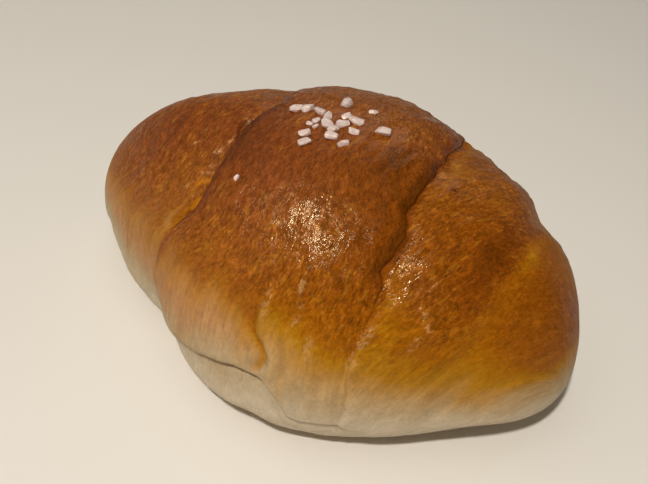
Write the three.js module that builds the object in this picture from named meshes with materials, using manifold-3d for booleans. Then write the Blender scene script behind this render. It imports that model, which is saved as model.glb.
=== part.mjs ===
// Salt bread roll: a plump baked roll of one rolled-up dough triangle, with coarse salt on top.
// Millimetres, +X along the roll, -Y towards its front with the open hem, +Z up.
// Angles run round the roll in degrees: 0 on top, -90 at the front, 90 at the back, 180 below.
import * as THREE from 'three';
import { mergeVertices } from 'three/addons/utils/BufferGeometryUtils.js';
import Module from 'manifold-3d';

// Overall size of the baked dough.
const LENGTH = 128;
const HALF_LENGTH = LENGTH / 2;
const HALF_WIDTH = 44;
const HEIGHT = 59.5;
const AXIS_HEIGHT = 16.7;
const FLAT_BASE = 0.9;

// Where the fattest section lies, as a part of the half length, and how each end tapers from it.
const FATTEST = 0.12;
const ROUNDING = 0.2;
const PLAN_TAPER = { left: 1, right: 1.4 };
const TOP_TAPER = { left: 2.5, right: 3.5 };
const BASE_TAPER = { left: 1.95, right: 1.95 };
const UPPER_FULLNESS = 2;
const LOWER_FULLNESS = { middle: 2.9, left: 2.5, right: 2.1 };

// The ends bend sideways and droop a little.
const BEND = { left: -4.9, right: 3.4 };
const DROOP = { left: -3.2, right: -2 };

// The outer layer of dough: a strip that narrows to its tip, lying on the layers that form the ends.
const LAYER_STEP = 2.2;
const LIP_WIDTH = 9;
const LIP_OVERHANG = { left: 0.9, right: 0.3 };
const LIP_STEEPNESS = { left: 0.5, right: 0.66 };
const QUARTER_ELLIPSE = 0.5;
const SLACK_WIDTH = 14;
const PINCH_DEPTH = 0.7;
const PINCH_WIDTH = 2.2;
const TIP_ANGLE = 140;

// Low waves over the upper side: height, waves along the roll and round it.
const LONG_WAVE = { height: 0.35, along: 0.09, round: 2 };
const SHORT_WAVE = { height: 0.25, along: 0.17, round: 3 };

// A soft crease near the right end, and the hem of the outer layer low at the front.
const CREASE_DEPTH = 0.85;
const CREASE_WIDTH = 3.5;
const HEM_STEP = 2.6;
const HEM_LIP = 3;
const FRONT_SWELL = 1.3;
const HEM_ANGLE = -88;
const MM_PER_DEGREE = 0.75;
const WRINKLE_DEPTH = 1.1;
const WRINKLE_WIDTH = 1.6;

// Uneven dough: place along the roll, angle, spread along and round, and height of each rise or dip.
const UNEVEN_PLACES = [
  [-24, 20, 16, 22, -0.95],
  [-16, 20, 5, 10, -0.5],
  [-37, 16, 6, 12, -0.4],
  [0, 34, 9, 18, 1],
  [14, 37, 5, 12, -0.9],
  [38, 37, 4, 20, 0.6],
  [45.5, 42, 3.5, 25, -1.1],
  [54.5, 48, 4, 22, 0.9],
  [53, -116, 9, 30, -2.9],
  [28, -121, 8, 13, 0.8],
  [-22, -98, 7, 17, -3.7],
  [-4, -114, 8, 12, 0.6],
  [-38, -102, 5, 14, 0.6],
  [38.5, -38, 6, 30, 1],
  [-52, -100, 4, 16, -0.9],
  [13, -111, 4, 10, -0.7],
];

// A small flake of dough that stands up at the back of the right edge.
const FLAKE = { x: 20.8, angle: 35, height: 1.3, length: 2.2, spread: 4 };

// Faces along the left end, the outer layer and the right end, and round the roll.
const LEFT_STEPS = 15;
const LAYER_STEPS = 25;
const RIGHT_STEPS = 18;
const ROUND_STEPS = 72;

// Coarse salt: place along and across the top, length and turn of each grain.
const GRAINS = [
  [-8, -3.4, 2.8, 42], [-5.9, -2, 2.8, 50], [-2.9, -1.5, 2.5, 5], [-0.1, -2.3, 2.3, 96],
  [-1.3, -4.9, 1.7, 60], [-1.9, -6.5, 1.4, 20], [-0.3, -6.5, 1.4, 75], [1.6, -5, 3.2, -8],
  [3.6, -5.4, 2.3, 30], [4.6, -7.3, 2.7, 27], [-0.8, -9.5, 2.4, 57], [0.9, -11.5, 2.6, 60],
  [-0.5, 4.9, 3, 88], [3, 0, 2.1, 60], [4, -2.8, 2.8, 55], [5.7, -0.5, 3.5, 8],
  [7.5, -3.7, 2.5, 10], [8, -7.7, 2.3, 40], [6.1, 5.4, 1.9, 35], [12.1, 0.4, 3.1, 17],
];
const STRAY_GRAIN = [-7.3, -24.3, 1.7, 87];
const GRAIN_RISE = 0.1;

const CRUST = new THREE.MeshStandardMaterial({ color: 0x8f5322, roughness: 0.42, metalness: 0 });

const radians = THREE.MathUtils.degToRad;
const { clamp, lerp, smoothstep } = THREE.MathUtils;

// Rises from 0 to 1 like the rounded edge of a layer of dough: a quarter ellipse at a steepness of 0.5.
function roundedLip(distance, width, steepness) {
  const inside = 1 - clamp(distance / width, 0, 1);
  return (1 - inside * inside) ** steepness;
}

function bump(distance, width) {
  return Math.exp(-((distance / width) ** 2));
}

// 0 at the fattest section, 1 at both ends.
function fromFattest(t) {
  return t < FATTEST ? (FATTEST - t) / (1 + FATTEST) : (t - FATTEST) / (1 - FATTEST);
}

// 1 at the fattest section, falling to 0 in a round nose at each end.
function taper(t, ends) {
  const power = t < FATTEST ? ends.left : ends.right;
  const rounded = (a) => (a * a + ROUNDING * ROUNDING) ** (power / 2) - ROUNDING ** power;
  return Math.sqrt(Math.max(0, 1 - rounded(fromFattest(t)) / rounded(1)));
}

function atEnds(t, ends) {
  return (t < 0 ? ends.left : ends.right) * t * t;
}

// Left edge of the outer layer, which swings inwards on the front shoulder.
function leftEdge(angle) {
  const swing = (a) => 6 * smoothstep(a, -68, -47) - 2 * smoothstep(a, -34, -20) - 4 * smoothstep(a, 0, 19);
  const along = (a) => -19.2 + 0.02 * a + 0.0006 * Math.max(a, 0) ** 2 + swing(a);
  return lerp(along(angle), along(-180), smoothstep(angle, TIP_ANGLE, 180));
}

// Right edge of the outer layer. Both edges meet at the tip, tucked under the back.
function rightEdge(angle) {
  const along = (a) => 25.8 - 0.135 * a - 0.0007 * a * a + 0.8 * bump(a + 47, 14) - 0.6 * bump(a + 14, 7);
  const edge = Math.max(along(angle), leftEdge(angle) + 4);
  return lerp(edge, along(-180), smoothstep(angle, TIP_ANGLE, 180));
}

function creaseLine(angle) {
  return 50 - 8.5 * (1 - Math.cos(radians(angle + 35)));
}

function hemAngle(x) {
  const risingLeft = 0.5 * Math.max(0, 10 - Math.max(x, -30));
  return -82.4 - risingLeft - 13.3 * smoothstep(x, 15.5, 25.5) - 9 * smoothstep(x, 31, 38);
}

function hemStrength(x) {
  const pastCorner = 0.6 * smoothstep(x, 16, 22) + 0.4 * smoothstep(x, 29, 38);
  return smoothstep(x, -24, -14) * (1 - pastCorner);
}

// A short wrinkle that runs down to the corner of the hem.
function wrinkleLine(angle) {
  return 15.7 - 4.8 * smoothstep(angle, -74.5, -66) - 1.6 * smoothstep(-angle, 75, 81);
}

// How crisp an edge is: 1 for a clear lip, towards 0 where the layers have baked together.
function leftCrispness(angle) {
  return lerp(0.15, 1, smoothstep(angle, -76, -54));
}

function rightCrispness(angle) {
  return smoothstep(angle, -70, -36);
}

// Level across an edge: 0 on the end of the roll, 1 on the outer layer.
function edgeLevel(distance, crispness, steepness) {
  const baked = smoothstep(distance, -SLACK_WIDTH, SLACK_WIDTH);
  return lerp(baked, roundedLip(distance, LIP_WIDTH, steepness), crispness);
}

function pinch(distance, crispness) {
  const open = 1 - roundedLip(distance, LIP_WIDTH, QUARTER_ELLIPSE);
  return PINCH_DEPTH * crispness * open * bump(distance + 1, PINCH_WIDTH);
}

// Height of the surface above the plain rounded body.
function relief(x, angle) {
  const fromLeft = x - leftEdge(angle);
  const fromRight = rightEdge(angle) - x;
  const leftCrisp = leftCrispness(angle);
  const rightCrisp = rightCrispness(angle);
  const leftLevel = edgeLevel(fromLeft, leftCrisp, LIP_STEEPNESS.left);
  const rightLevel = edgeLevel(fromRight, rightCrisp, LIP_STEEPNESS.right);
  const upperSide = 1 - smoothstep(Math.abs(angle), 115, 150);
  let height = -LAYER_STEP * (1 - leftLevel * rightLevel) * upperSide;
  height -= (pinch(fromLeft, leftCrisp) + pinch(fromRight, rightCrisp)) * upperSide;

  const crease = x - creaseLine(angle);
  const creaseFade = 1 - smoothstep(Math.abs(angle + 15), 60, 100);
  height -= CREASE_DEPTH * creaseFade * (bump(crease, CREASE_WIDTH) + smoothstep(crease, -4, 6));

  const aboveHem = (angle - hemAngle(x)) * MM_PER_DEGREE;
  const open = 1 - roundedLip(aboveHem, HEM_LIP, QUARTER_ELLIPSE);
  const recess = aboveHem > 0 ? open : 1 - smoothstep(-aboveHem, 2, 20);
  height += FRONT_SWELL * bump(x - 4, 30) * bump(angle - HEM_ANGLE, 30);
  height -= HEM_STEP * hemStrength(x) * recess;

  const wrinkle = x - wrinkleLine(angle);
  const wrinkleFade = smoothstep(angle, -82, -78) * (1 - smoothstep(angle, -68, -58));
  height -= WRINKLE_DEPTH * bump(wrinkle, WRINKLE_WIDTH) * wrinkleFade;

  for (const [along, around, spreadAlong, spreadRound, rise] of UNEVEN_PLACES) {
    height += rise * bump(x - along, spreadAlong) * bump(angle - around, spreadRound);
  }
  height += FLAKE.height * bump(x - FLAKE.x, FLAKE.length) * bump(angle - FLAKE.angle, FLAKE.spread);
  const longWave = Math.sin(LONG_WAVE.along * x + 1) * Math.cos(radians(LONG_WAVE.round * angle + 35));
  const shortWave = Math.sin(SHORT_WAVE.along * x - radians(SHORT_WAVE.round * angle) + 0.4);
  height += (LONG_WAVE.height * longWave + SHORT_WAVE.height * shortWave) * upperSide;
  return height;
}

// A point of the crust, at a place along the roll and an angle round it.
function crustPoint(x, angle) {
  const t = clamp(x / HALF_LENGTH, -1, 1);
  const centreY = atEnds(t, BEND);
  const centreZ = AXIS_HEIGHT + atEnds(t, DROOP);
  const sine = Math.sin(radians(angle));
  const cosine = Math.cos(radians(angle));
  const below = cosine < 0;
  const endFullness = t < FATTEST ? LOWER_FULLNESS.left : LOWER_FULLNESS.right;
  const lowerFullness = lerp(LOWER_FULLNESS.middle, endFullness, fromFattest(t) ** 2);
  const power = 2 / (below ? lowerFullness : UPPER_FULLNESS);
  const rise = below ? -centreZ * taper(t, BASE_TAPER) : (HEIGHT - AXIS_HEIGHT) * taper(t, TOP_TAPER);
  const across = HALF_WIDTH * taper(t, PLAN_TAPER) * Math.sign(sine) * Math.abs(sine) ** power;
  const upwards = rise * Math.abs(cosine) ** power;
  const radius = Math.hypot(across, upwards);
  const raised = radius > 0 ? 1 + (relief(x, angle) * (1 - t ** 8)) / radius : 1;
  const height = Math.max(0, centreZ + upwards * raised - FLAT_BASE);
  return new THREE.Vector3(x, centreY + across * raised, height);
}

// Steps that crowd towards both ends of a stretch.
function crowded(step, steps) {
  const even = step / steps;
  return 0.35 * even + 0.65 * 0.5 * (1 - Math.cos(Math.PI * even));
}

// Places along the roll for one angle, with columns that follow the edges of the outer layer.
function placesAlong(angle) {
  const left = leftEdge(angle);
  const right = rightEdge(angle);
  const places = [];
  for (let i = 1; i <= LEFT_STEPS; i += 1) {
    places.push(lerp(-HALF_LENGTH, left, 0.5 * (1 - Math.cos((Math.PI * i) / LEFT_STEPS))));
  }
  for (let i = 1; i <= LAYER_STEPS; i += 1) {
    places.push(lerp(left, right, crowded(i, LAYER_STEPS)));
  }
  for (let i = 1; i < RIGHT_STEPS; i += 1) {
    places.push(lerp(right, HALF_LENGTH, 0.5 * (1 - Math.cos((Math.PI * i) / RIGHT_STEPS))));
  }
  return places;
}

// Angles round the roll, crowded at the hem.
function angleOf(row) {
  const even = -180 + (360 * row) / ROUND_STEPS;
  return even - 0.7 * (even - HEM_ANGLE) * bump(even - HEM_ANGLE, 16);
}

// Bends a row so that it follows the hem.
function alongHem(x, angle) {
  return angle + (hemAngle(x) - HEM_ANGLE) * hemStrength(x) * bump(angle - HEM_ANGLE, 22);
}

// The lips lean over the layers below them.
function leaning(x, angle) {
  const fromLeft = x - leftEdge(angle);
  const fromRight = rightEdge(angle) - x;
  const upperSide = 1 - smoothstep(Math.abs(angle), 100, 130);
  const lean = (distance) => (distance > 0.01 ? Math.max(0, 1 - distance / LIP_WIDTH) ** 3 : 0);
  const towardsLeft = LIP_OVERHANG.left * leftCrispness(angle) * lean(fromLeft);
  const towardsRight = LIP_OVERHANG.right * rightCrispness(angle) * lean(fromRight);
  return (towardsRight - towardsLeft) * upperSide;
}

function rollGeometry() {
  const columns = LEFT_STEPS + LAYER_STEPS + RIGHT_STEPS - 1;
  const points = [];
  for (let row = 0; row < ROUND_STEPS; row += 1) {
    const rowAngle = angleOf(row);
    for (const x of placesAlong(rowAngle)) {
      const point = crustPoint(x, alongHem(x, rowAngle));
      point.x += leaning(x, rowAngle);
      points.push(point);
    }
  }
  const leftTip = points.push(crustPoint(-HALF_LENGTH, 0)) - 1;
  const rightTip = points.push(crustPoint(HALF_LENGTH, 0)) - 1;

  const triangles = [];
  for (let row = 0; row < ROUND_STEPS; row += 1) {
    const here = row * columns;
    const next = ((row + 1) % ROUND_STEPS) * columns;
    triangles.push(leftTip, here, next);
    triangles.push(rightTip, next + columns - 1, here + columns - 1);
    for (let column = 0; column < columns - 1; column += 1) {
      const a = here + column;
      const b = next + column;
      triangles.push(a, b + 1, b, a, a + 1, b + 1);
    }
  }
  const geometry = new THREE.BufferGeometry().setFromPoints(points);
  geometry.setIndex(triangles);
  return geometry;
}

// Repeatable draws between -1 and 1 for the uneven crystals.
function makeDraw(seed) {
  let state = seed;
  return () => {
    state = (state * 16807) % 2147483647;
    return (2 * state) / 2147483647 - 1;
  };
}

// One blocky crystal, sunk a little into the crust.
function grainGeometry([x, y, length, turn], draw) {
  const geometry = new THREE.IcosahedronGeometry(1, 0);
  geometry.deleteAttribute('normal');
  geometry.deleteAttribute('uv');
  const crystal = mergeVertices(geometry);
  const position = crystal.attributes.position;
  const corner = new THREE.Vector3();
  for (let i = 0; i < position.count; i += 1) {
    corner.fromBufferAttribute(position, i);
    const blocky = (value) => Math.sign(value) * Math.abs(value) ** 0.6 + 0.12 * draw();
    position.setXYZ(i, blocky(corner.x), blocky(corner.y), blocky(corner.z));
  }
  crystal.scale(length / 2, length * (0.3 + 0.035 * draw()), length * (0.24 + 0.03 * draw()));
  crystal.rotateX(0.3 * draw());
  crystal.rotateZ(radians(turn));
  const angle = THREE.MathUtils.radToDeg(Math.asin(y / (HEIGHT - AXIS_HEIGHT)));
  const seat = crustPoint(x, angle);
  crystal.rotateX(radians(-angle));
  crystal.translate(seat.x, seat.y, seat.z + GRAIN_RISE * length);
  return crystal;
}

const wasm = await Module();
wasm.setup();

function toSolid(geometry) {
  const vertProperties = new Float32Array(geometry.attributes.position.array);
  const triVerts = new Uint32Array(geometry.index.array);
  return new wasm.Manifold(new wasm.Mesh({ numProp: 3, vertProperties, triVerts }));
}

function toGeometry(solid) {
  const { vertProperties, triVerts } = solid.getMesh();
  const geometry = new THREE.BufferGeometry();
  geometry.setAttribute('position', new THREE.BufferAttribute(new Float32Array(vertProperties), 3));
  geometry.setIndex(new THREE.BufferAttribute(new Uint32Array(triVerts), 1));
  return geometry;
}

function saltedRoll() {
  const draw = makeDraw(41);
  let solid = toSolid(rollGeometry());
  for (const grain of [...GRAINS, STRAY_GRAIN]) {
    solid = solid.add(toSolid(grainGeometry(grain, draw)));
  }
  const geometry = toGeometry(solid);
  geometry.computeBoundingBox();
  const middle = geometry.boundingBox.getCenter(new THREE.Vector3());
  geometry.translate(-middle.x, -middle.y, -geometry.boundingBox.min.z);
  geometry.computeVertexNormals();
  return geometry;
}

const roll = new THREE.Mesh(saltedRoll(), CRUST);
roll.name = 'roll';

const part = new THREE.Group();
part.add(roll);

export default part;
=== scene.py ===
import math

import bpy
import numpy as np
from mathutils import Matrix, Vector, noise


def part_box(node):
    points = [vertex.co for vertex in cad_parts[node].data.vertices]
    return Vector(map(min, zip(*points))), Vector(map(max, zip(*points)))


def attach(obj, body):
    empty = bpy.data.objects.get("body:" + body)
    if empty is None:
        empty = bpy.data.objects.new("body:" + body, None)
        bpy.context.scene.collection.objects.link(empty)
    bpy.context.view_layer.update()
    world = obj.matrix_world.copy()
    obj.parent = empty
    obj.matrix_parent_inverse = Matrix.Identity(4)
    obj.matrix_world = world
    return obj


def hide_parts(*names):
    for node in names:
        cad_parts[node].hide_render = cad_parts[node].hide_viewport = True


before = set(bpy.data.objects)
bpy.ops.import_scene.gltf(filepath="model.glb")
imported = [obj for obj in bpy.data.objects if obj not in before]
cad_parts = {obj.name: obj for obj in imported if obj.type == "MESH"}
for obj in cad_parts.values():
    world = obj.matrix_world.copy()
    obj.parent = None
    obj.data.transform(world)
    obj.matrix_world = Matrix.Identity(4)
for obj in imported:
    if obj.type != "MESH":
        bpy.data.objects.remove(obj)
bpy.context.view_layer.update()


# The baked dough: one triangle of dough rolled up from its wide end, so that the outer layer lies as a
# strip over the layers that form both ends. Wheat dough brushed with egg, brown and glossy on top, gold
# lower down and cream where it stood on the tray. Lengths are millimetres until the mesh is made.
millimetre = 0.001
roll_low, roll_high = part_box("roll")
half_length = (roll_high.x - roll_low.x) / 2 / millimetre
half_width = 44
crown_height = 59.5
axis_height = 16.7
flat_base = 0.9

# The fattest section lies right of the middle, as a part of the half length. Each pair holds the left and
# the right end: how they taper in plan, above and below, how full they are below, their bend and droop.
fattest = 0.12
nose_rounding = 0.2
plan_taper = (1, 1.4)
top_taper = (2.5, 3.5)
base_taper = (1.95, 1.95)
upper_fullness = 2
lower_fullness = 2.9
end_fullness = (2.5, 2.1)
end_bend = (-4.9, 3.4)
end_droop = (-3.2, -2)
quarter_ellipse = 0.5


def smooth(value, start, end):
    part = np.clip((value - start) / (end - start), 0, 1)
    return part * part * (3 - 2 * part)


def between(low, high, amount):
    return low + (high - low) * amount


def swell(distance, width):
    return np.exp(-((distance / width) ** 2))


def rounded_lip(distance, width, steepness=quarter_ellipse):
    return (1 - (1 - np.clip(distance / width, 0, 1)) ** 2) ** steepness


def from_fattest(part):
    return np.where(part < fattest, (fattest - part) / (1 + fattest), (part - fattest) / (1 - fattest))


def taper(part, left, right):
    power = np.where(part < fattest, left, right)

    def rounded(away):
        return (away * away + nose_rounding**2) ** (power / 2) - nose_rounding**power

    return np.sqrt(np.maximum(0, 1 - rounded(from_fattest(part)) / rounded(1)))


def at_ends(part, left, right):
    return np.where(part < 0, left, right) * part * part


# The outer layer lies one step above the ends and overhangs its grooves. Its two edges are lines along
# the roll for each angle round it in degrees: 0 on top, -90 at the front, 90 at the back, 180 below.
layer_step = 2.2
lip_width = 9
left_overhang = 0.9
right_overhang = 0.3
left_steepness = 0.5
right_steepness = 0.66
slack_width = 14
pinch_depth = 0.7
pinch_width = 2.2
tip_angle = 140


def upper_side(angle):
    return 1 - smooth(np.abs(angle), 115, 150)


def left_curve(angle):
    def along(a):
        swing = 6 * smooth(a, -68, -47) - 2 * smooth(a, -34, -20) - 4 * smooth(a, 0, 19)
        return -19.2 + 0.02 * a + 0.0006 * np.maximum(a, 0) ** 2 + swing

    return between(along(angle), along(-180), smooth(angle, tip_angle, 180))


def right_curve(angle):
    def along(a):
        return 25.8 - 0.135 * a - 0.0007 * a * a + 0.8 * swell(a + 47, 14) - 0.6 * swell(a + 14, 7)

    curve = np.maximum(along(angle), left_curve(angle) + 4)
    return between(curve, along(-180), smooth(angle, tip_angle, 180))


def ragged(angle, start):
    waves = 0.3 * np.sin(0.29 * angle + start) + 0.12 * np.sin(0.71 * angle + 2 * start)
    return (waves + 0.03 * np.sin(1.63 * angle)) * upper_side(angle)


def left_edge(angle):
    return left_curve(angle) + 0.7 * ragged(angle, 2)


# Notches and tongues of the right edge: angle, spread and reach of each.
right_tongues = [(-39.5, 4.5, -1.7), (-28, 3.5, 0.8), (-18.5, 3, -1.3), (3, 3, -0.7)]


def right_edge(angle):
    edge = right_curve(angle) + ragged(angle, 0.6)
    for middle, spread, reach in right_tongues:
        edge = edge + reach * swell(angle - middle, spread)
    return edge


def left_crispness(angle):
    return between(0.15, 1, smooth(angle, -76, -54))


def right_crispness(angle):
    return smooth(angle, -70, -36)


def edge_level(distance, crispness, steepness):
    baked_together = smooth(distance, -slack_width, slack_width)
    return between(baked_together, rounded_lip(distance, lip_width, steepness), crispness)


def pinch(distance, crispness):
    in_groove = swell(distance + 1, pinch_width)
    return pinch_depth * crispness * (1 - rounded_lip(distance, lip_width)) * in_groove


# The hem of the outer layer, low at the front, over a recessed pale inner layer.
hem_middle = -88
hem_step = 2.6
hem_undercut = 0.6
front_swell = 1.3
millimetres_per_degree = 0.75


def hem_angle(x):
    rising_left = 0.5 * np.maximum(0, 10 - np.maximum(x, -30))
    return -82.4 - rising_left - 13.3 * smooth(x, 15.5, 25.5) - 9 * smooth(x, 31, 38)


def hem_lip(x):
    return between(4.5, 2.2, smooth(x, -8, 8))


def hem_strength(x):
    past_corner = 0.6 * smooth(x, 16, 22) + 0.4 * smooth(x, 29, 38)
    return smooth(x, -24, -14) * (1 - past_corner)


# A short wrinkle that runs down to the corner of the hem, and a fold that runs on below the right groove.
wrinkle_depth = 1.5
wrinkle_rim = 0.5
fold_depth = 0.5
fold_rim = 0.3


def wrinkle_line(angle):
    return 15.7 - 4.8 * smooth(angle, -74.5, -66) - 1.6 * smooth(-angle, 75, 81)


def wrinkle_fade(angle):
    return smooth(angle, -82, -78) * (1 - smooth(angle, -68, -58))


def fold_fade(angle):
    return smooth(angle, -98, -86) * (1 - smooth(angle, -70, -58))


# Where the dough tore open beside the left edge: a long strip low down and a short cleft near the top.
strip_depth = 0.5
cleft_depth = 1.1


def strip_width(angle):
    return 3.3 * smooth(angle, -65, -55) * (1 - smooth(angle, -47, -41))


def cleft_width(angle):
    return 3.2 * smooth(angle, -26, -14) * (1 - smooth(angle, -12.5, -10))


def opened(from_left, width):
    inside = smooth(-from_left, -0.3, 0.4) * (1 - smooth(-from_left, width - 0.5, width + 0.3))
    return inside * smooth(width, 0, 1)


# A soft third crease near the right end.
crease_depth = 0.85
crease_width = 2.4


def crease_line(angle):
    return 50 - 8.5 * (1 - np.cos(np.radians(angle + 35)))


def crease_fade(angle):
    return 1 - smooth(np.abs(angle + 15), 60, 100)


# Uneven dough: two low waves over the upper side, and rises and dips of their own. Each has its place
# along the roll, angle, spread along and round, and height. Among them are a flake and a small hole.
long_wave = 0.35
short_wave = 0.25
uneven_places = [
    (-24, 20, 16, 22, -0.95),
    (-16, 20, 5, 10, -0.5),
    (-37, 16, 6, 12, -0.4),
    (0, 34, 9, 18, 1.0),
    (14, 37, 5, 12, -0.9),
    (38, 37, 4, 20, 0.6),
    (45.5, 42, 3.5, 25, -0.6),
    (54.5, 48, 4, 22, 0.9),
    (53, -116, 9, 30, -2.9),
    (28, -121, 8, 13, 0.8),
    (-22, -98, 7, 17, -3.7),
    (-21.4, -83.6, 0.9, 1.3, -1.6),
    (-4, -114, 8, 12, 0.6),
    (-38, -102, 5, 14, 0.6),
    (38.5, -38, 6, 30, 1.0),
    (-52, -100, 4, 16, -0.9),
    (13, -111, 4, 10, -0.7),
    (20.8, 35, 1.6, 3, 1.3),
]

# Low stretch ridges: place along the roll at both ends, angles at both ends, height and width.
stretch_ridges = [
    (17.4, 20.2, -48, -60, 0.45, 0.9),
    (19.6, 19.4, -61, -66, 0.3, 0.7),
    (23.6, 24.6, -64, -74, 0.4, 1.0),
    (32.6, 32.0, -57, -70, 0.6, 1.1),
    (31.9, 32.3, -71, -84, 0.4, 0.9),
    (39.4, 42.2, -46, -53, 0.4, 0.8),
    (40.9, 40.3, -55, -61, 0.3, 0.7),
    (39.6, 36.2, -68, -76, 0.3, 0.7),
    (20.4, 20.9, -78, -86, 0.3, 0.7),
    (12.6, 14.2, -56, -68, 0.35, 1.1),
    (-24.6, -26.6, -26, -30, 0.35, 0.8),
    (-24.9, -26.2, -20, -24, 0.3, 0.7),
    (-16.9, -17.4, -18, -24, 0.35, 0.5),
    (-17.6, -18.8, -26, -31, 0.35, 0.7),
    (-15.8, -18.8, -36, -38.6, 0.3, 1.0),
    (-25.5, -28.5, -31, -36, 0.25, 0.8),
    (-19.6, -20.6, -42, -46, 0.3, 0.6),
    (-16.2, -18.6, -45.5, -49, 0.35, 0.6),
    (21.6, 22.2, -26, -36, 0.2, 0.4),
    (25.2, 25.8, -30, -35, 0.2, 0.4),
]


def ridge_height(x, angle):
    total = 0 * x
    for top_x, low_x, top_angle, low_angle, height, width in stretch_ridges:
        way_down = (angle - top_angle) / (low_angle - top_angle)
        ridge = x - between(top_x, low_x, way_down)
        fade = smooth(way_down, -0.3, 0.2) * (1 - smooth(way_down, 0.8, 1.3))
        total = total + height * swell(ridge, width) * fade
    return total


def relief(x, angle):
    from_left = x - left_edge(angle)
    from_right = right_edge(angle) - x
    left_crisp = left_crispness(angle)
    right_crisp = right_crispness(angle)
    upper = upper_side(angle)
    level = edge_level(from_left, left_crisp, left_steepness)
    level *= edge_level(from_right, right_crisp, right_steepness)
    height = -layer_step * (1 - level) * upper
    height -= (pinch(from_left, left_crisp) + pinch(from_right, right_crisp)) * upper

    in_strip = opened(from_left, strip_width(angle))
    height -= strip_depth * in_strip + cleft_depth * opened(from_left, cleft_width(angle))

    crease = x - crease_line(angle)
    crease_form = 1.2 * swell(crease, crease_width) + smooth(crease, -4, 5)
    height -= crease_depth * crease_fade(angle) * crease_form

    above_hem = (angle - hem_angle(x)) * millimetres_per_degree
    below_lip = 1 - rounded_lip(above_hem, hem_lip(x))
    recess = np.where(above_hem > 0, below_lip, 1 - smooth(-above_hem, 2, 20))
    height += front_swell * swell(x - 4, 30) * swell(angle - hem_middle, 30)
    undercut = hem_undercut * smooth(x, -8, 8) * swell(above_hem + 0.5, 0.8)
    height -= hem_strength(x) * (hem_step * recess + undercut)

    wrinkle = x - wrinkle_line(angle)
    wrinkle_form = wrinkle_depth * swell(wrinkle, 1.3) - wrinkle_rim * swell(wrinkle - 2.6, 1.5)
    height -= wrinkle_form * wrinkle_fade(angle)

    fold_form = fold_depth * swell(from_right, 1.1) - fold_rim * swell(from_right + 2.2, 1.4)
    height -= fold_form * fold_fade(angle)

    for along, round_angle, spread_along, spread_round, rise in uneven_places:
        height += rise * swell(x - along, spread_along) * swell(angle - round_angle, spread_round)
    height += long_wave * np.sin(0.09 * x + 1) * np.cos(np.radians(2 * angle + 35)) * upper
    height += short_wave * np.sin(0.17 * x - np.radians(3 * angle) + 0.4) * upper
    height += ridge_height(x, angle)
    return height


def crust_point(x, angle, fine_relief):
    part = np.clip(x / half_length, -1, 1)
    centre_y = at_ends(part, *end_bend)
    centre_z = axis_height + at_ends(part, *end_droop)
    sine = np.sin(np.radians(angle))
    cosine = np.cos(np.radians(angle))
    fuller = between(lower_fullness, np.where(part < fattest, *end_fullness), from_fattest(part) ** 2)
    power = 2 / np.where(cosine < 0, fuller, upper_fullness)
    above = (crown_height - axis_height) * taper(part, *top_taper)
    below = -centre_z * taper(part, *base_taper)
    across = half_width * taper(part, *plan_taper) * np.sign(sine) * np.abs(sine) ** power
    upwards = np.where(cosine < 0, below, above) * np.abs(cosine) ** power
    radius = np.maximum(np.hypot(across, upwards), 1e-6)
    off_the_tips = 1 - part**8
    raised = 1 + (relief(x, angle) + fine_relief) * off_the_tips / radius
    z = np.maximum(0, centre_z + upwards * raised - flat_base)
    return np.stack([x, centre_y + across * raised, z], axis=-1)


# Rows round the roll crowd at the hem and columns along it crowd at both edges of the outer layer.
row_count = 352
left_columns = 76
layer_columns = 112
right_columns = 76


def crowded(count, evenness):
    even = np.arange(1, count + 1) / count
    return evenness * even + (1 - evenness) * 0.5 * (1 - np.cos(np.pi * even))


even_angles = -180 + 360 * np.arange(row_count) / row_count
row_angles = even_angles - 0.5 * (even_angles - hem_middle) * swell(even_angles - hem_middle, 16)
row_left = left_edge(row_angles)[:, None]
row_right = right_edge(row_angles)[:, None]
column_x = np.hstack([
    between(-half_length, row_left, crowded(left_columns, 0.3)),
    between(row_left, row_right, crowded(layer_columns, 0.45)),
    between(row_right, half_length, crowded(right_columns, 0.3)[:-1]),
])
column_angle = row_angles[:, None] + 0 * column_x
follow_hem = (hem_angle(column_x) - hem_middle) * hem_strength(column_x)
column_angle = column_angle + follow_hem * swell(column_angle - hem_middle, 22)

# Strands: the dough's own grid, which the skin's texture follows. The first number is the place between
# the edges of the outer layer, the other two are the place on the ring round the roll.
strand_span = 45
from_left = column_x - left_edge(column_angle)
from_right = right_edge(column_angle) - column_x
on_layer = (from_left > 0) & (from_right > 0)
curve_left = column_x - left_curve(column_angle)
curve_right = right_curve(column_angle) - column_x
across_layer = strand_span * curve_left / (curve_left + curve_right)
right_slant = 0.28 * column_angle
strand_beside = np.where(from_left <= 0, curve_left, strand_span - curve_right - right_slant)
strand_across = np.where(on_layer, across_layer, strand_beside)
strands = crust_point(column_x, column_angle, 0)
strands[..., 0] = strand_across


def noise_over(points, scale, offset):
    spread = points.reshape(-1, 3) * np.array(scale) + offset
    values = [noise.noise(Vector(place)) for place in spread]
    return np.array(values).reshape(points.shape[:-1])


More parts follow.
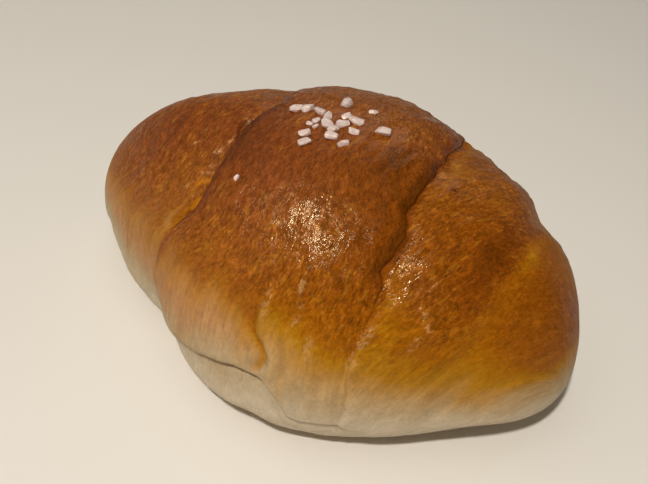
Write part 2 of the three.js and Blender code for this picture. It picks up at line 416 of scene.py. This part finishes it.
# Relief of the skin: soft lumps, dimples, fine ridges along the strands, more of them past the right
# groove, and crinkles. The pale foot is smoother.
lump_height = 0.45
dimple_height = 0.22
strand_height = 0.14
right_strand_height = 0.1
crinkle_height = 0.2
foot_share = 0.35
lumps = noise_over(strands, (0.09, 0.07, 0.07), 3.1)
dimples = noise_over(strands, (0.28, 0.16, 0.16), 11.7)
strand_ridges = noise_over(strands, (0.75, 0.16, 0.16), 5.3)
crinkles = noise_over(strands, (0.62, 0.38, 0.38), 21.4)
baked_side = smooth(np.cos(np.radians(column_angle)), -0.35, 0.35)
right_band = smooth(-from_right, 0, 3)
strand_relief = (strand_height + right_strand_height * right_band) * strand_ridges
skin_relief = dimple_height * dimples + strand_relief + crinkle_height * crinkles
fine_relief = lump_height * lumps + skin_relief * between(foot_share, 1, baked_side)

# The lips of the outer layer lean over the grooves.
crust_points = crust_point(column_x, column_angle, fine_relief)
lean_left = np.where(from_left > 0.01, np.maximum(0, 1 - from_left / lip_width) ** 3, 0)
lean_right = np.where(from_right > 0.01, np.maximum(0, 1 - from_right / lip_width) ** 3, 0)
lean = left_overhang * left_crispness(column_angle) * lean_left
lean -= right_overhang * right_crispness(column_angle) * lean_right
crust_points[..., 0] -= lean * (1 - smooth(np.abs(column_angle), 100, 130))

# Quads along the roll, closed by a fan of triangles at both tips.
column_count = column_x.shape[1]
left_tip = row_count * column_count
right_tip = left_tip + 1
here = np.arange(row_count)[:, None] * column_count
following = np.roll(here, -1, axis=0)
column = np.arange(column_count - 1)
quads = np.stack([here + column, here + column + 1, following + column + 1, following + column], axis=-1)
left_fan = np.hstack([np.full_like(here, left_tip), here, following])
last = column_count - 1
right_fan = np.hstack([np.full_like(here, right_tip), following + last, here + last])
tip_points = crust_point(np.array([-half_length, half_length]), np.zeros(2), np.zeros(2))
all_points = np.vstack([crust_points.reshape(-1, 3), tip_points])
middle_y = (all_points[:, 1].min() + all_points[:, 1].max()) / 2
all_points[:, 1] -= middle_y

crust_mesh = bpy.data.meshes.new("crust")
crust_faces = quads.reshape(-1, 4).tolist() + left_fan.tolist() + right_fan.tolist()
crust_mesh.from_pydata((all_points * millimetre).tolist(), [], crust_faces)
crust_mesh.shade_smooth()
crust = bpy.data.objects.new("crust", crust_mesh)
bpy.context.collection.objects.link(crust)


def add_measure(mesh, name, values, tips):
    layer = mesh.attributes.new(name, "FLOAT", "POINT")
    layer.data.foreach_set("value", np.append(values.ravel(), tips))


def add_direction(mesh, name, values, tips):
    layer = mesh.attributes.new(name, "FLOAT_VECTOR", "POINT")
    layer.data.foreach_set("vector", np.append(values.ravel(), tips))


# Bake: 0 for raw cream dough, 1 for the darkest brown. It follows the height above the tray, to which both
# ends, blotches and drips add. The lips of the layers are darker, partly as browning and partly as painted
# shade on their shaded sides, the valleys stay lighter, and the crown is lighter, partly as lighter bake and
# partly as painted sheen. Each place in the list changes it: place along, angle, spread along and round,
# and change.
darkest_height = 70
right_end_rise = 7
left_end_rise = 6
blotch_rise = 3.2
drip_rise = 2.2
edge_change = 0.085
nose_change = 0.1
cleft_shade = 0.3
tear_shade = 0.2
wrinkle_shade = 0.1
browner_and_shaded_places = [
    (-37, -34, 12, 20, 0.14),
    (-46, -64, 12, 12, -0.05),
    (-19, -38, 7, 13, -0.13),
    (-16.5, -61, 5, 8, -0.08),
    (-4, -29, 10, 9, 0.09),
    (17, -53, 6, 5, 0.05),
    (20, -61, 6, 7, -0.05),
    (3, -70, 12, 12, -0.1),
    (25, -36, 6, 14, 0.08),
    (34.5, -40, 3.5, 16, -0.06),
    (45.2, -14, 3.5, 28, 0.19),
    (57, 2, 6, 18, 0.1),
    (48, -64, 6, 6, -0.035),
    (56, -79, 8, 6, 0.05),
    (13, -70, 4, 6, 0.03),
    (54, -42, 4, 8, 0.04),
    (38, -28, 7, 12, 0.05),
    (20.5, -7, 6, 9, 0.07),
    (29, -18, 2.5, 7, -0.04),
    (14, 15, 8, 8, -0.05),
    (-30, -18, 12, 20, 0.07),
    (8, -60, 6, 6, 0.025),
    (30, -61.5, 9, 6, 0.07),
    (18.5, -71, 4, 7, -0.06),
    (4, -82, 10, 6, -0.05),
    (36, -62, 6, 8, -0.03),
    (20.5, 0, 3.5, 7, 0.1),
    (-7, -58, 6, 6, 0.05),
    (-18, -28, 4.5, 6, 0.08),
    # A burnt speck, and the small hole, darkened as painted shade.
    (31.2, -3.2, 0.5, 0.7, 0.9),
    (-21.4, -83.6, 0.7, 1.0, 0.7),
]
blotches = noise_over(strands, (0.045, 0.04, 0.04), 8.2)
drips = noise_over(strands, (0.3, 0.05, 0.05), 1.9)
tray_height = crust_points[..., 2]
end_browning = right_end_rise * smooth(column_x, 38, 62) * smooth(tray_height, 18, 31)
end_browning += left_end_rise * smooth(-column_x, 22, 58) * smooth(tray_height, 15, 27)
baked_height = tray_height + end_browning + blotch_rise * blotches + drip_rise * drips
# The lips are darker, partly as browning and partly as painted shade on the sides that face away from the
# light.
left_lip = (swell(from_left - 3, 4) + 3 * swell(from_left - 0.6, 1.6)) * left_crispness(column_angle)
right_side = swell(from_right - 5, 7) * (1 - 0.6 * swell(column_angle + 44, 14))
right_lip = (right_side + 2.4 * swell(from_right - 0.5, 1.4)) * right_crispness(column_angle)
past_crease = column_x - crease_line(column_angle)
crease_valley = between(-1.3, 1.5, smooth(column_angle, -45, 12))
crease_lip = 0.9 * swell(past_crease + 3.6, 2.8) - 2 * swell(past_crease - crease_valley, 1.9)
crease_lip *= 1 - smooth(np.abs(column_angle + 20), 14, 42)
strip = strip_width(column_angle)
strip_border = -swell(from_left + strip + 1, 1) * smooth(strip, 0, 2)
beside_right = -1.2 * swell(from_right + 3, 3) * right_crispness(column_angle)
off_the_noses = 1 - smooth(np.abs(column_x), 52, 63)
# The crown is lighter, partly as lighter bake and partly as painted sheen.
crown = smooth(column_angle, -18, 10) * (1 - smooth(column_angle, 35, 75)) * off_the_noses
bake = baked_height / darkest_height
bake += nose_change * smooth(column_x, 55, 63) * smooth(tray_height, 22, 31)
edge_browning_shade_and_sheen = left_lip + strip_border + right_lip + beside_right + crease_lip - 2 * crown
bake += edge_change * edge_browning_shade_and_sheen * upper_side(column_angle)
for along, round_angle, spread_along, spread_round, change in browner_and_shaded_places:
    place = swell(column_x - along, spread_along) * swell(column_angle - round_angle, spread_round)
    bake += change * place * off_the_noses

# Torn dough: the strips that opened beside the edges while the roll rose, so they stay golden. The cleft,
# the wrinkle and the upper end of the long strip lie deep, and are darkened as painted shade.
frayed = noise_over(strands, (0.5, 0.22, 0.22), 14.6)
left_tear = opened(from_left + 0.8 * frayed, strip)
slit = column_angle + 38 - 1.3 * (column_x + 15)
left_tear += 0.8 * swell(slit, 1.3) * smooth(column_x, -20, -17.5) * (from_left < 0)
cleft = opened(from_left, cleft_width(column_angle))
upper_tear = swell(from_left + 1.5 + 1.2 * frayed, 1.1)
upper_tear *= smooth(column_angle, -14, -6) * (1 - smooth(column_angle, 0, 26))
right_tear = swell(from_right + 2 + 1.5 * frayed, 1.8)
right_tear *= smooth(column_angle, 0, 16) * (1 - smooth(column_angle, 45, 80))
torn = left_tear + 0.35 * cleft + 0.5 * upper_tear + 0.3 * right_tear
bake += cleft_shade * cleft + tear_shade * left_tear * swell(column_angle + 45, 5)
wrinkle_shade_mask = swell(column_x - wrinkle_line(column_angle), 0.9) * wrinkle_fade(column_angle)
bake += wrinkle_shade * wrinkle_shade_mask
add_measure(crust_mesh, "bake", bake, [bake[:, 0].mean(), bake[:, -1].mean()])
add_measure(crust_mesh, "torn", torn, [0, 0])

# Tan and sheen: a tan tint on the pale dough of the left side and the back, and a rosy tint painted there
# as sheen on the brown. Plain: the right end is evenly baked.
tan = np.maximum(smooth(-column_x, -20, 2), 0.8 * smooth(column_angle, -10, 15)) * upper_side(column_angle)
add_measure(crust_mesh, "tan", tan, [tan[:, 0].mean(), tan[:, -1].mean()])
add_measure(crust_mesh, "plain", smooth(column_x, 44, 54), [0, 1])

# Glaze: how much of the egg wash shines. It pooled in two spots at the front, is thinner on the left and
# over the crown, and is gone from the pale foot and the torn strips.
thin_glaze = 0.1
glaze_spots = [
    (14, -36, 6, 10, 0.95),
    (36.5, -41, 6, 8, 1.0),
    (-32, -38, 22, 34, 0.35),
    (0, 10, 70, 25, 0.55),
]
glaze = np.full_like(bake, thin_glaze)
for along, round_angle, spread_along, spread_round, weight in glaze_spots:
    spot = weight * swell(column_x - along, spread_along) * swell(column_angle - round_angle, spread_round)
    glaze = np.maximum(glaze, spot)
add_measure(crust_mesh, "glaze", glaze * smooth(bake, 0.36, 0.52) * (1 - np.clip(torn, 0, 1)), [0, 0])

# Marks: broken pale lines on the stretch ridges, partly pale stretch marks and partly painted highlights.
marks = ridge_height(column_x, column_angle) * np.clip(1.4 + 2.5 * frayed, 0, 2)
add_direction(crust_mesh, "strands", strands, [strands[:, 0].mean(axis=0), strands[:, -1].mean(axis=0)])
add_measure(crust_mesh, "marks", marks, [0, 0])


class Wire:
    """One socket of a finish's node tree. Arithmetic on it adds Math nodes."""

    def __init__(self, tree, socket=None):
        self.tree = tree
        self.socket = socket

    def node(self, kind, settings, sockets, out=0):
        made = self.tree.nodes.new(kind)
        for name, value in settings.items():
            if name == "stops":
                elements = made.color_ramp.elements
                while len(elements) < len(value):
                    elements.new(1)
                for element, (position, colour) in zip(elements, value):
                    element.position = position
                    element.color = colour
            else:
                setattr(made, name, value)
        for name, value in sockets.items():
            if isinstance(value, Wire):
                self.tree.links.new(value.socket, made.inputs[name])
            else:
                made.inputs[name].default_value = value
        return Wire(self.tree, made.outputs[out] if len(made.outputs) else None)

    def maths(self, operation, first, second):
        return self.node("ShaderNodeMath", {"operation": operation}, {0: first, 1: second})

    def __add__(self, other):
        return self.maths("ADD", self, other)

    def __radd__(self, other):
        return self.maths("ADD", other, self)

    def __sub__(self, other):
        return self.maths("SUBTRACT", self, other)

    def __rsub__(self, other):
        return self.maths("SUBTRACT", other, self)

    def __mul__(self, other):
        return self.maths("MULTIPLY", self, other)

    def __rmul__(self, other):
        return self.maths("MULTIPLY", other, self)


def new_finish(name):
    material = bpy.data.materials.new(name)
    material.use_nodes = True
    material.node_tree.nodes.clear()
    return material, Wire(material.node_tree)


def measure(finish, name):
    return finish.node("ShaderNodeAttribute", {"attribute_name": name}, {}, out="Fac")


def direction(finish, name):
    return finish.node("ShaderNodeAttribute", {"attribute_name": name}, {}, out="Vector")


def stretched(vector, amounts):
    return vector.node("ShaderNodeVectorMath", {"operation": "MULTIPLY"}, {0: vector, 1: amounts})


def grain(vector, scale, detail, roughness=0.5):
    sockets = {"Vector": vector, "Scale": scale, "Detail": detail, "Roughness": roughness}
    return vector.node("ShaderNodeTexNoise", {}, sockets, out="Fac")


def step_between(value, low, high):
    sockets = {"Value": value, "From Min": low, "From Max": high}
    return value.node("ShaderNodeMapRange", {"interpolation_type": "SMOOTHSTEP"}, sockets)


# A Mix node holds its sockets for numbers, vectors and colours in turn: 6 and 7 take the colours.
def tinted(amount, plain, tint):
    return amount.node("ShaderNodeMix", {"data_type": "RGBA"}, {0: amount, 6: plain, 7: tint}, out=2)


def bumped(height, strength, distance):
    return height.node("ShaderNodeBump", {}, {"Strength": strength, "Distance": distance, "Height": height})


# The crust's colours by bake, and those of the dashes, marks, tears and tints laid over them; some of these
# stand in for glints, highlights and sheen.
bake_colours = [
    (0.00, (0.56, 0.47, 0.345, 1)),
    (0.17, (0.535, 0.435, 0.305, 1)),
    (0.22, (0.50, 0.385, 0.245, 1)),
    (0.26, (0.46, 0.33, 0.185, 1)),
    (0.315, (0.43, 0.27, 0.115, 1)),
    (0.36, (0.40, 0.205, 0.05, 1)),
    (0.40, (0.375, 0.165, 0.010, 1)),
    (0.44, (0.345, 0.135, 0.002, 1)),
    (0.495, (0.292, 0.090, 0.001, 1)),
    (0.60, (0.245, 0.0665, 0.001, 1)),
    (0.72, (0.21, 0.052, 0.001, 1)),
    (0.85, (0.19, 0.045, 0.0015, 1)),
    (0.97, (0.11, 0.028, 0.001, 1)),
]
torn_gold = (0.36, 0.118, 0.004, 1)
gold_dash_and_glint = (0.50, 0.21, 0.015, 1)
tan_dough = (0.47, 0.205, 0.105, 1)
painted_sheen_rosy = (0.27, 0.08, 0.10, 1)
pale_mark_and_highlight = (0.55, 0.29, 0.10, 1)
dash_brown = (0.12, 0.03, 0.002, 1)

crust_finish, crust_nodes = new_finish("egg-washed crust")
strand = direction(crust_nodes, "strands")
baked = measure(crust_nodes, "bake")
torn_dough = measure(crust_nodes, "torn")


def strand_grain(per_millimetre, detail, roughness=0.5):
    return grain(stretched(strand, per_millimetre), 1, detail, roughness)


# The bake is mottled on the brown side and picks the crust's colour.
hairs = strand_grain((2.1, 0.75, 0.75), 2)
granules = strand_grain((1.5, 0.9, 0.9), 3, 0.6)
pebbles = strand_grain((1.8, 1.15, 1.15), 2)
patches = strand_grain((0.16, 0.1, 0.1), 3)
brown_side = step_between(baked, 0.35, 0.5)
weave = strand_grain((0.7, 0.4, 0.4), 4, 1.0)
mottle = (hairs - 0.5) * 0.12 + (granules - 0.5) * 0.25 + (patches - 0.5) * 0.25
lively = 1 - measure(crust_nodes, "plain") * 0.5
shade = baked + mottle * (0.07 + brown_side * 0.93) * lively
crust_colour = crust_nodes.node("ShaderNodeValToRGB", {"stops": bake_colours}, {"Fac": shade}, out="Color")

# Over it lie a tan tint, a rosy tint that is painted sheen, golden dashes and flecks that are partly painted
# glints, dark dashes, pale stretch marks that are partly painted highlights, and torn strips.
light_dashes = step_between(hairs, 0.5, 0.72) * step_between(granules, 0.38, 0.62)
dark_dashes = step_between(hairs, 0.5, 0.3)
dashed = step_between(baked, 0.42, 0.6) * lively
tan_and_sheen_side = measure(crust_nodes, "tan")
tan_low = tan_and_sheen_side * step_between(baked, 0.26, 0.34) * (1 - brown_side)
crust_colour = tinted(tan_low * 0.4, crust_colour, tan_dough)
# The rosy tint on the brown of the left side and the back is painted sheen.
crust_colour = tinted(tan_and_sheen_side * brown_side * 0.07, crust_colour, painted_sheen_rosy)
# Golden dashes and flecks: partly the crust's own lighter grain, partly painted glints on its fine ridges.
lit_dashes = light_dashes * dashed * (1 - step_between(baked, 0.72, 0.86))
crust_colour = tinted(lit_dashes * 0.38, crust_colour, gold_dash_and_glint)
flecks = step_between(strand_grain((0.9, 0.3, 0.3), 1), 0.58, 0.68)
lit_flecks = flecks * dashed * (1 - step_between(baked, 0.78, 0.92))
crust_colour = tinted(lit_flecks * 0.23, crust_colour, gold_dash_and_glint)
crust_colour = tinted(dark_dashes * dashed * 0.35, crust_colour, dash_brown)
# The pale stretch marks are partly painted highlights on their ridges.
broken_marks = measure(crust_nodes, "marks") * step_between(granules, 0.38, 0.58)
crust_colour = tinted(step_between(broken_marks, 0.1, 0.6) * 0.5, crust_colour, pale_mark_and_highlight)
crust_colour = tinted(step_between(torn_dough, 0.15, 0.8) * 0.85, crust_colour, torn_gold)

# The finest grain and the long streaks of the gold zone make the colour lighter and darker: partly the
# crust's own grain and streaks, partly painted micro-glints and micro-shade.
streaks = strand_grain((1.1, 0.12, 0.12), 2)
gold_zone = step_between(baked, 0.24, 0.32) * (1 - step_between(baked, 0.44, 0.54))
fine = (weave - 0.5) * (1.0 + dashed * 2.0) + (hairs - 0.5) * dashed * 0.5
grain_and_painted_light = 1 + fine + (streaks - 0.5) * gold_zone * 0.6
multiplied = {"data_type": "RGBA", "blend_type": "MULTIPLY"}
crust_colour = crust_nodes.node("ShaderNodeMix", multiplied, {0: 1.0, 6: crust_colour, 7: grain_and_painted_light}, out=2)

# Bare crust is satin, and the egg wash over it is glossy in small broken patches.
glaze_weight = measure(crust_nodes, "glaze") * step_between(patches + weave, 0.75, 1.1)
gloss = 0.15 + step_between(weave, 0.5, 0.66) * 0.3
skin_height = (pebbles * 0.7 + hairs * 0.3) * (0.3 + brown_side * 0.7)
skin_normal = bumped(skin_height, 0.5, 0.0005)
bare_crust = crust_nodes.node("ShaderNodeBsdfPrincipled", {}, {
    "Base Color": crust_colour,
    "Roughness": 0.5,
    "Specular IOR Level": 0.05,
    "Normal": skin_normal,
}, out="BSDF")
glazed_crust = crust_nodes.node("ShaderNodeBsdfPrincipled", {}, {
    "Base Color": crust_colour,
    "Roughness": gloss,
    "Specular IOR Level": 0.5,
    "Normal": skin_normal,
}, out="BSDF")
layered = {0: glaze_weight, 1: bare_crust, 2: glazed_crust}
crust_surface = crust_nodes.node("ShaderNodeMixShader", {}, layered)
crust_nodes.node("ShaderNodeOutputMaterial", {}, {"Surface": crust_surface})

crust_mesh.materials.append(crust_finish)
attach(crust, "root")
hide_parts("roll")


# Coarse salt: broken crystals strewn on the crown before baking, with one flake on the left shoulder.
# Cloudy white rock salt in chipped blocks of 1.4 to 3.5 mm, stuck to the egg wash by their undersides.
# Each has its place along and across the top, its length, and its turn in degrees.
salt_places = [
    (-8, -3.4, 2.8, 42), (-5.9, -2, 2.8, 50), (-2.9, -1.5, 2.5, 5), (-0.1, -2.3, 2.3, 96),
    (-1.3, -4.9, 1.7, 60), (-1.9, -6.5, 1.4, 20), (-0.3, -6.5, 1.4, 75), (1.6, -5, 3.2, -8),
    (3.6, -5.4, 2.3, 30), (4.6, -7.3, 2.7, 27), (-0.8, -9.5, 2.4, 57), (0.9, -11.5, 2.6, 60),
    (-0.5, 4.9, 3, 88), (3, 0, 2.1, 60), (4, -2.8, 2.8, 55), (5.7, -0.5, 3.5, 8),
    (7.5, -3.7, 2.5, 10), (8, -7.7, 2.3, 40), (6.1, 5.4, 1.9, 35), (12.1, 0.4, 3.1, 17),
    (-7.3, -24.3, 1.4, 87),
]
salt_rise = 0.1
crystal_steps = 6
crystal_rounding = 0.45
ball_size = 1.35
chips_per_crystal = 7
chip_depths = (0.78, 1.1)
half_widths = (0.27, 0.34)
half_heights = (0.2, 0.27)
most_tilt = 0.3
crystal_edge = math.radians(28)
salt_draw = np.random.default_rng(41)


def block_faces(steps):
    """Points on a cube from -1 to 1, joined at its edges, and its quads."""
    points, faces, index = [], [], {}

    def place(point):
        key = tuple(np.round(point, 6))
        if key not in index:
            index[key] = len(points)
            points.append(point)
        return index[key]

    for axis in range(3):
        for side in (-1, 1):
            for i in range(steps):
                for j in range(steps):
                    corners = [(i, j), (i + 1, j), (i + 1, j + 1), (i, j + 1)]
                    face = []
                    for u, v in corners[::side]:
                        point = np.zeros(3)
                        point[axis] = side
                        point[(axis + 1) % 3] = 2 * u / steps - 1
                        point[(axis + 2) % 3] = 2 * v / steps - 1
                        face.append(place(point))
                    faces.append(face)
    return np.array(points), np.array(faces)


block_points, block_quads = block_faces(crystal_steps)
salt_points = []
salt_faces = []
for x, y, length, turned in salt_places:
    rounded = block_points / np.linalg.norm(block_points, axis=1, keepdims=True)
    crystal = between(block_points, ball_size * rounded, crystal_rounding)
    for chip in range(chips_per_crystal):
        facing = salt_draw.normal(size=3)
        facing /= np.linalg.norm(facing)
        depth = salt_draw.uniform(*chip_depths)
        crystal = crystal - np.maximum(0, crystal @ facing - depth)[:, None] * facing
    halves = length * np.array([0.5, salt_draw.uniform(*half_widths), salt_draw.uniform(*half_heights)])
    turn = Matrix.Rotation(math.radians(turned), 3, "Z")
    tilt = Matrix.Rotation(salt_draw.uniform(-most_tilt, most_tilt), 3, "X")
    angle = math.degrees(math.asin(y / (crown_height - axis_height)))
    lean_over = Matrix.Rotation(math.radians(-angle), 3, "X")
    seat = crust_point(np.array([float(x)]), np.array([angle]), np.zeros(1))[0]
    seat[1] -= middle_y
    seat[2] += salt_rise * length
    placed = (crystal * halves) @ np.array(lean_over @ turn @ tilt).T + seat
    salt_faces.append(block_quads + len(block_points) * len(salt_points))
    salt_points.append(placed)

salt_mesh = bpy.data.meshes.new("salt")
salt_mesh.from_pydata((np.vstack(salt_points) * millimetre).tolist(), [], np.vstack(salt_faces).tolist())
salt_mesh.shade_smooth()
salt_mesh.set_sharp_from_angle(angle=crystal_edge)
salt = bpy.data.objects.new("salt", salt_mesh)
bpy.context.collection.objects.link(salt)

salt_white = (0.665, 0.535, 0.48, 1)
salt_clear = (0.58, 0.43, 0.38, 1)
salt_finish, salt_nodes = new_finish("rock salt")
salt_place = salt_nodes.node("ShaderNodeTexCoord", {}, {}, out="Object")
cloud = grain(salt_place, 900, 3)
salt_colour = tinted(step_between(cloud, 0.35, 0.65), salt_white, salt_clear)
salt_surface = salt_nodes.node("ShaderNodeBsdfPrincipled", {}, {
    "Base Color": salt_colour,
    "Roughness": 0.3 + cloud * 0.2,
    "Subsurface Weight": 0.4,
    "Subsurface Radius": (1.0, 0.8, 0.7),
    "Subsurface Scale": 0.0008,
    "Normal": bumped(cloud, 0.3, 0.0002),
}, out="BSDF")
salt_nodes.node("ShaderNodeOutputMaterial", {}, {"Surface": salt_surface})

salt_mesh.materials.append(salt_finish)
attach(salt, "root")
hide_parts("roll")


# The floor: a plain pale matt board that the roll rests on, as the stage alone. It is one flat square,
# wide enough to fill the camera's view.
floor_half = 1.5
floor_colour = (0.80, 0.755, 0.68, 1)
floor_mesh = bpy.data.meshes.new("floor")
floor_corners = [(-floor_half, -floor_half, 0), (floor_half, -floor_half, 0),
                 (floor_half, floor_half, 0), (-floor_half, floor_half, 0)]
floor_mesh.from_pydata(floor_corners, [], [(0, 1, 2, 3)])
floor = bpy.data.objects.new("floor", floor_mesh)
bpy.context.collection.objects.link(floor)
floor_finish, floor_nodes = new_finish("pale floor")
floor_surface = floor_nodes.node("ShaderNodeBsdfPrincipled", {}, {
    "Base Color": floor_colour,
    "Roughness": 0.6,
    "Specular IOR Level": 0.2,
}, out="BSDF")
floor_nodes.node("ShaderNodeOutputMaterial", {}, {"Surface": floor_surface})
floor_mesh.materials.append(floor_finish)


# The light: a key lamp high at the front, a soft panel overhead and a weak fill from the left, in a dim
# room. A small lamp at the front and a panel behind are seen only in the egg wash, as glints and sheen.
room_colour = (1, 0.96, 0.9, 1)
room_strength = 0.115


def add_lamp(name, place, size, power, colour, only_glints=False):
    lamp = bpy.data.lights.new(name, "AREA")
    lamp.shape = "DISK"
    lamp.size = size
    lamp.energy = power
    lamp.color = colour
    lamp_object = bpy.data.objects.new(name, lamp)
    lamp_object.location = place
    lamp_object.visible_diffuse = not only_glints
    lamp_object.visible_glossy = only_glints
    lamp_object.rotation_euler = (-Vector(place)).to_track_quat("-Z", "Y").to_euler()
    bpy.context.collection.objects.link(lamp_object)


add_lamp("key lamp", (0.14, -0.36, 0.58), 0.04, 3.5, (1, 0.96, 0.90))
add_lamp("top panel", (-0.15, -0.1, 0.75), 0.8, 1.3, (1, 0.97, 0.92))
add_lamp("glint lamp", (-0.085, -0.3, 0.565), 0.06, 4.2, (1, 0.79, 0.45), only_glints=True)
add_lamp("sheen panel", (-0.3, 0.5, 0.5), 0.5, 0.9, (1, 0.82, 0.58), only_glints=True)
add_lamp("left fill", (-0.45, -0.1, 0.12), 0.2, 0.13, (1, 0.9, 0.85))

room = bpy.data.worlds.new("dim room")
room.use_nodes = True
room.node_tree.nodes["Background"].inputs["Color"].default_value = room_colour
room.node_tree.nodes["Background"].inputs["Strength"].default_value = room_strength
bpy.context.scene.world = room
bpy.context.scene.view_settings.view_transform = "Standard"


# The camera: it looks down at the front right side of the roll and is turned a little about its axis.
# Its target is given in the dough's own millimetres.
camera_azimuth = math.radians(34)
camera_elevation = math.radians(40)
camera_roll = math.radians(5)
camera_distance = 0.22862
camera_target = Vector((1.77, -2.63 - middle_y, 25.97 - flat_base)) * millimetre
camera_back = Vector((
    math.sin(camera_azimuth) * math.cos(camera_elevation),
    -math.cos(camera_azimuth) * math.cos(camera_elevation),
    math.sin(camera_elevation),
))
level_right = Vector((math.cos(camera_azimuth), math.sin(camera_azimuth), 0))
level_up = camera_back.cross(level_right)
camera_right = level_right * math.cos(camera_roll) + level_up * math.sin(camera_roll)
camera_up = level_up * math.cos(camera_roll) - level_right * math.sin(camera_roll)
camera_lens = bpy.data.cameras.new("camera")
camera_lens.sensor_width = 36
camera_lens.lens = 54.11
camera_lens.clip_start = 0.01
camera = bpy.data.objects.new("camera", camera_lens)
camera_turn = Matrix((camera_right, camera_up, camera_back)).transposed()
camera_place = camera_target + camera_back * camera_distance
camera.matrix_world = Matrix.Translation(camera_place) @ camera_turn.to_4x4()
bpy.context.collection.objects.link(camera)
bpy.context.scene.camera = camera
